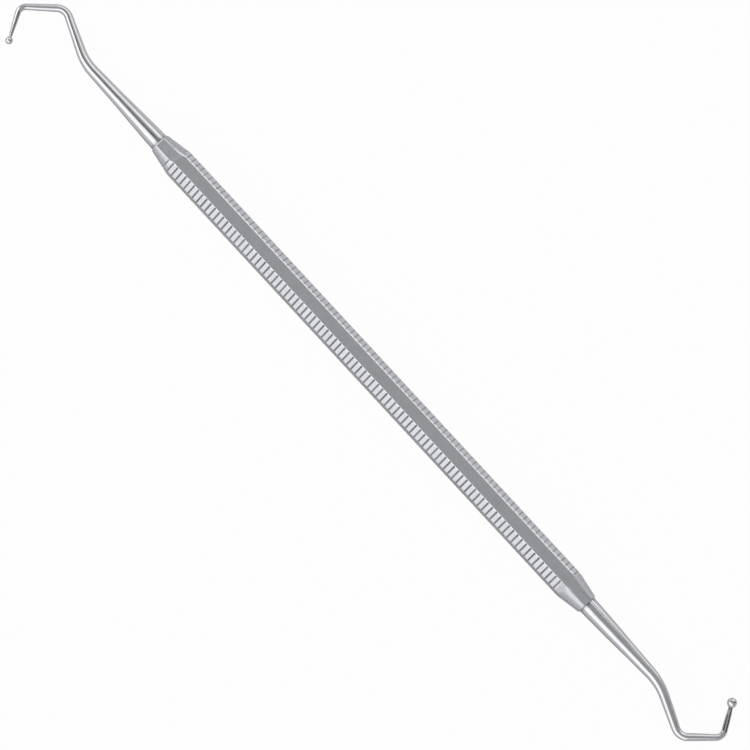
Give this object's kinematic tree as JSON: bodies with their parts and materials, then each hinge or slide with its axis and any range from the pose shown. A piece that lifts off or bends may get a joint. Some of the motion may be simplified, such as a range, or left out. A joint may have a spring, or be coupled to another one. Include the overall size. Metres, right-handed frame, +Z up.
{
  "type": "dental burnisher",
  "caption": "Slim hand instrument for smoothing fillings: an octagonal serrated steel handle with a bent, tapered ball-tipped working end at each end.",
  "frame": {"origin": "middle of the handle's length on the plain face that it lies on", "axes": "+X along the handle towards the large ball, +Z up out of the face opposite, and both shanks bend in the level plane through the handle's axis: the large ball stands off to +Y and the small one to -Y"},
  "size_m": [0.1648, 0.0147, 0.0049],
  "materials": {
    "handle_steel": "satin, with the lands of the serration polished brighter than the plain faces",
    "working_end_steel": "polished stainless steel"
  },
  "bodies": {
    "root": {"handle": "handle_steel", "small_ball_end": "working_end_steel", "large_ball_end": "working_end_steel"}
  },
  "joints": []
}
